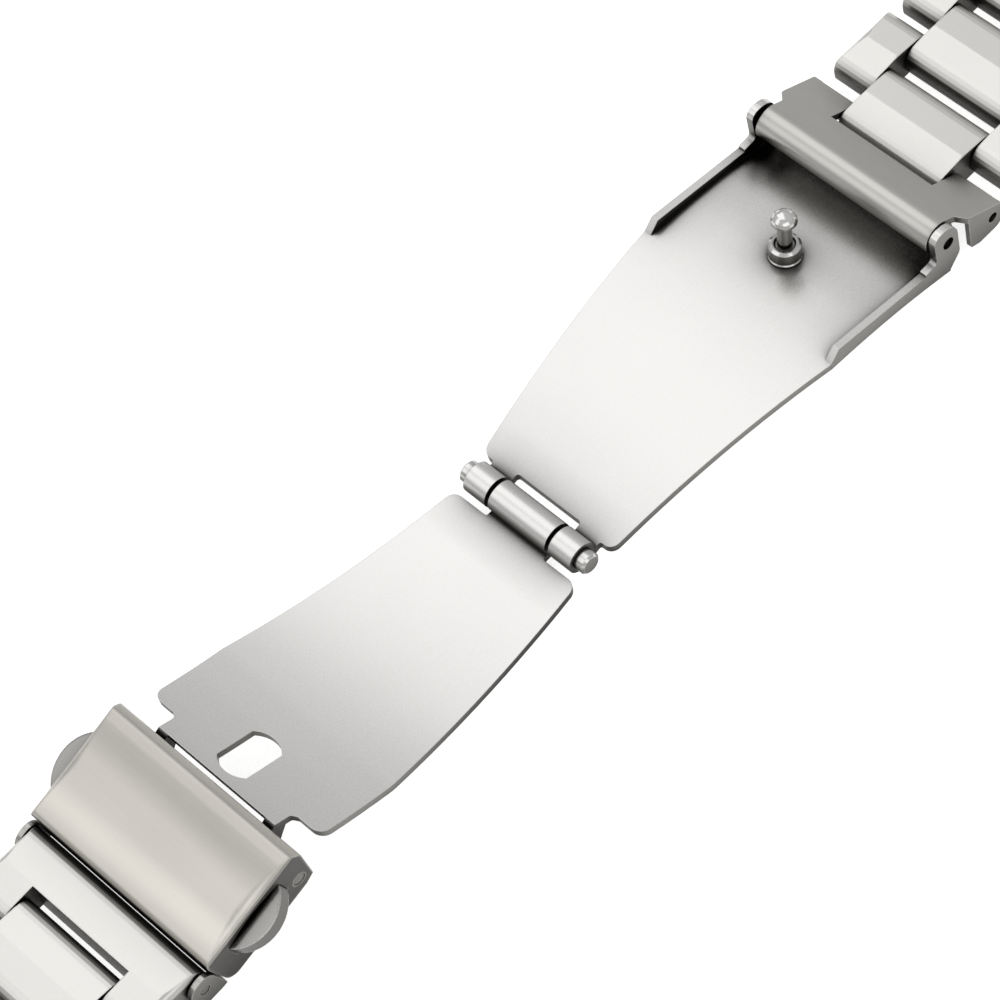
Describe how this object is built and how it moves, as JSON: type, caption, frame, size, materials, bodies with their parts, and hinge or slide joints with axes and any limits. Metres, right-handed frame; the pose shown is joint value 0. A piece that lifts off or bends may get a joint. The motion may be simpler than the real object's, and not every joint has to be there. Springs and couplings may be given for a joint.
{
  "type": "watch bracelet",
  "caption": "Brushed steel watch bracelet lying open, with its fold-over clasp unfolded between two rows of links.",
  "frame": {"origin": "middle of the open bracelet's length and width, at the underside of the clasp blades", "axes": "+X along the strap towards the 12 o'clock end, +Y across it, +Z out of the face that is seen when worn"},
  "size_m": [0.1956, 0.0242, 0.0087],
  "materials": {
    "link_steel": "brushed",
    "blade_steel": "brushed",
    "cover_steel": "brushed",
    "clasp_steel": "satin",
    "polished_steel": "polished",
    "spring_steel": "bright"
  },
  "bodies": {
    "stud_blade": {"blade_b": "blade_steel", "stud": "polished_steel", "mid_pin": "polished_steel", "mid_pin_cap": "polished_steel"},
    "hole_blade": {"blade_a": "blade_steel"},
    "clasp_cover": {"cover": "cover_steel", "latch_frame": "clasp_steel", "cover_pin": "polished_steel", "ear_pin": "polished_steel", "catch_spring_left": "spring_steel", "catch_spring_right": "spring_steel"},
    "left_catch": {"catch_left": "clasp_steel"},
    "right_catch": {"catch_right": "clasp_steel"},
    "connector_link": {"connector": "clasp_steel", "end_hinge_bar": "clasp_steel", "connector_pin": "polished_steel"},
    "first_6": {"first_link_6": "link_steel", "first_pin_6": "polished_steel"},
    "centre_link_12_1": {"centre_12_1": "link_steel"},
    "side_links_12_1": {"sides_12_1": "link_steel", "pins_12_1": "polished_steel"},
    "centre_link_12_2": {"centre_12_2": "link_steel"},
    "side_links_12_2": {"sides_12_2": "link_steel", "pins_12_2": "polished_steel"},
    "centre_link_12_3": {"centre_12_3": "link_steel"},
    "side_links_12_3": {"sides_12_3": "link_steel", "pins_12_3": "polished_steel"},
    "centre_link_12_4": {"centre_12_4": "link_steel"},
    "side_links_12_4": {"sides_12_4": "link_steel", "pins_12_4": "polished_steel"},
    "centre_link_12_5": {"centre_12_5": "link_steel"},
    "side_links_12_5": {"sides_12_5": "link_steel", "pins_12_5": "polished_steel"},
    "centre_link_12_6": {"centre_12_6": "link_steel"},
    "end_12": {"end_link_12": "link_steel", "end_pin_12": "polished_steel", "bar_tube_12": "polished_steel", "bar_spring_12": "spring_steel"},
    "tip_12_left": {"bar_tip_12_left": "polished_steel"},
    "tip_12_right": {"bar_tip_12_right": "polished_steel"},
    "centre_link_6_1": {"centre_6_1": "link_steel"},
    "side_links_6_1": {"sides_6_1": "link_steel", "pins_6_1": "polished_steel"},
    "centre_link_6_2": {"centre_6_2": "link_steel"},
    "side_links_6_2": {"sides_6_2": "link_steel", "pins_6_2": "polished_steel"},
    "centre_link_6_3": {"centre_6_3": "link_steel"},
    "side_links_6_3": {"sides_6_3": "link_steel", "pins_6_3": "polished_steel"},
    "centre_link_6_4": {"centre_6_4": "link_steel"},
    "side_links_6_4": {"sides_6_4": "link_steel", "pins_6_4": "polished_steel"},
    "centre_link_6_5": {"centre_6_5": "link_steel"},
    "end_6": {"end_link_6": "link_steel", "end_pin_6": "polished_steel", "bar_tube_6": "polished_steel", "bar_spring_6": "spring_steel"},
    "tip_6_left": {"bar_tip_6_left": "polished_steel"},
    "tip_6_right": {"bar_tip_6_right": "polished_steel"}
  },
  "joints": [
    {"name": "mid_hinge", "type": "hinge", "parent": "stud_blade", "child": "hole_blade", "pos_m": [-0.00077, 0, 0.00167], "axis": [0, -1, 0], "range_deg": [-168.7, 0]},
    {"name": "cover_hinge", "type": "hinge", "parent": "hole_blade", "child": "clasp_cover", "pos_m": [-0.03619, 0, 0.00421], "axis": [0, -1, 0], "range_deg": [0, 138.4]},
    {"name": "button_left", "type": "slide", "parent": "clasp_cover", "child": "left_catch", "axis": [0, -1, 0], "range_m": [-0.00045, 0.00035], "stiffness_N_per_m": 150, "springref_m": -0.0015, "deforming": ["catch_spring_left"]},
    {"name": "button_right", "type": "slide", "parent": "clasp_cover", "child": "right_catch", "axis": [0, 1, 0], "range_m": [-0.00045, 0.00035], "stiffness_N_per_m": 150, "springref_m": -0.0015, "deforming": ["catch_spring_right"]},
    {"name": "connector_hinge", "type": "hinge", "parent": "stud_blade", "child": "connector_link", "pos_m": [0.03857, 0, 0.005], "axis": [0, 1, 0], "range_deg": [-4, 35]},
    {"name": "first_link_hinge_6", "type": "hinge", "parent": "clasp_cover", "child": "first_6", "pos_m": [-0.04709, 0, 0.00198], "axis": [0, -1, 0], "range_deg": [-3, 35]},
    {"name": "pivot_12_1", "type": "hinge", "parent": "connector_link", "child": "centre_link_12_1", "pos_m": [0.04384, 0, 0.00262], "axis": [0, 1, 0], "range_deg": [-3, 18]},
    {"name": "pivot_12_2", "type": "hinge", "parent": "centre_link_12_1", "child": "side_links_12_1", "pos_m": [0.04814, 0, 0.00262], "axis": [0, 1, 0], "range_deg": [-3, 18]},
    {"name": "pivot_12_3", "type": "hinge", "parent": "side_links_12_1", "child": "centre_link_12_2", "pos_m": [0.05244, 0, 0.00262], "axis": [0, 1, 0], "range_deg": [-3, 18]},
    {"name": "pivot_12_4", "type": "hinge", "parent": "centre_link_12_2", "child": "side_links_12_2", "pos_m": [0.05674, 0, 0.00262], "axis": [0, 1, 0], "range_deg": [-3, 18]},
    {"name": "pivot_12_5", "type": "hinge", "parent": "side_links_12_2", "child": "centre_link_12_3", "pos_m": [0.06104, 0, 0.00262], "axis": [0, 1, 0], "range_deg": [-3, 18]},
    {"name": "pivot_12_6", "type": "hinge", "parent": "centre_link_12_3", "child": "side_links_12_3", "pos_m": [0.06534, 0, 0.00262], "axis": [0, 1, 0], "range_deg": [-3, 18]},
    {"name": "pivot_12_7", "type": "hinge", "parent": "side_links_12_3", "child": "centre_link_12_4", "pos_m": [0.06964, 0, 0.00262], "axis": [0, 1, 0], "range_deg": [-3, 18]},
    {"name": "pivot_12_8", "type": "hinge", "parent": "centre_link_12_4", "child": "side_links_12_4", "pos_m": [0.07394, 0, 0.00262], "axis": [0, 1, 0], "range_deg": [-3, 18]},
    {"name": "pivot_12_9", "type": "hinge", "parent": "side_links_12_4", "child": "centre_link_12_5", "pos_m": [0.07824, 0, 0.00262], "axis": [0, 1, 0], "range_deg": [-3, 18]},
    {"name": "pivot_12_10", "type": "hinge", "parent": "centre_link_12_5", "child": "side_links_12_5", "pos_m": [0.08254, 0, 0.00262], "axis": [0, 1, 0], "range_deg": [-3, 18]},
    {"name": "pivot_12_11", "type": "hinge", "parent": "side_links_12_5", "child": "centre_link_12_6", "pos_m": [0.08684, 0, 0.00262], "axis": [0, 1, 0], "range_deg": [-3, 18]},
    {"name": "pivot_12_12", "type": "hinge", "parent": "centre_link_12_6", "child": "end_12", "pos_m": [0.09114, 0, 0.00262], "axis": [0, 1, 0], "range_deg": [-3, 18]},
    {"name": "bar_tip_12_left_slide", "type": "slide", "parent": "end_12", "child": "tip_12_left", "axis": [0, -1, 0], "range_m": [0, 0.001], "stiffness_N_per_m": 150, "springref_m": -0.001, "deforming": ["bar_spring_12"]},
    {"name": "bar_tip_12_right_slide", "type": "slide", "parent": "end_12", "child": "tip_12_right", "axis": [0, 1, 0], "range_m": [0, 0.001], "stiffness_N_per_m": 150, "springref_m": -0.001, "deforming": ["bar_spring_12"]},
    {"name": "pivot_6_1", "type": "hinge", "parent": "first_6", "child": "centre_link_6_1", "pos_m": [-0.05244, 0, 0.00198], "axis": [0, -1, 0], "range_deg": [-3, 18]},
    {"name": "pivot_6_2", "type": "hinge", "parent": "centre_link_6_1", "child": "side_links_6_1", "pos_m": [-0.05674, 0, 0.00198], "axis": [0, -1, 0], "range_deg": [-3, 18]},
    {"name": "pivot_6_3", "type": "hinge", "parent": "side_links_6_1", "child": "centre_link_6_2", "pos_m": [-0.06104, 0, 0.00198], "axis": [0, -1, 0], "range_deg": [-3, 18]},
    {"name": "pivot_6_4", "type": "hinge", "parent": "centre_link_6_2", "child": "side_links_6_2", "pos_m": [-0.06534, 0, 0.00198], "axis": [0, -1, 0], "range_deg": [-3, 18]},
    {"name": "pivot_6_5", "type": "hinge", "parent": "side_links_6_2", "child": "centre_link_6_3", "pos_m": [-0.06964, 0, 0.00198], "axis": [0, -1, 0], "range_deg": [-3, 18]},
    {"name": "pivot_6_6", "type": "hinge", "parent": "centre_link_6_3", "child": "side_links_6_3", "pos_m": [-0.07394, 0, 0.00198], "axis": [0, -1, 0], "range_deg": [-3, 18]},
    {"name": "pivot_6_7", "type": "hinge", "parent": "side_links_6_3", "child": "centre_link_6_4", "pos_m": [-0.07824, 0, 0.00198], "axis": [0, -1, 0], "range_deg": [-3, 18]},
    {"name": "pivot_6_8", "type": "hinge", "parent": "centre_link_6_4", "child": "side_links_6_4", "pos_m": [-0.08254, 0, 0.00198], "axis": [0, -1, 0], "range_deg": [-3, 18]},
    {"name": "pivot_6_9", "type": "hinge", "parent": "side_links_6_4", "child": "centre_link_6_5", "pos_m": [-0.08684, 0, 0.00198], "axis": [0, -1, 0], "range_deg": [-3, 18]},
    {"name": "pivot_6_10", "type": "hinge", "parent": "centre_link_6_5", "child": "end_6", "pos_m": [-0.09114, 0, 0.00198], "axis": [0, -1, 0], "range_deg": [-3, 18]},
    {"name": "bar_tip_6_left_slide", "type": "slide", "parent": "end_6", "child": "tip_6_left", "axis": [0, -1, 0], "range_m": [0, 0.001], "stiffness_N_per_m": 150, "springref_m": -0.001, "deforming": ["bar_spring_6"]},
    {"name": "bar_tip_6_right_slide", "type": "slide", "parent": "end_6", "child": "tip_6_right", "axis": [0, 1, 0], "range_m": [0, 0.001], "stiffness_N_per_m": 150, "springref_m": -0.001, "deforming": ["bar_spring_6"]}
  ],
  "couplings": [
    {"joint": "cover_hinge", "follows": "mid_hinge", "ratio": -0.82039}
  ]
}
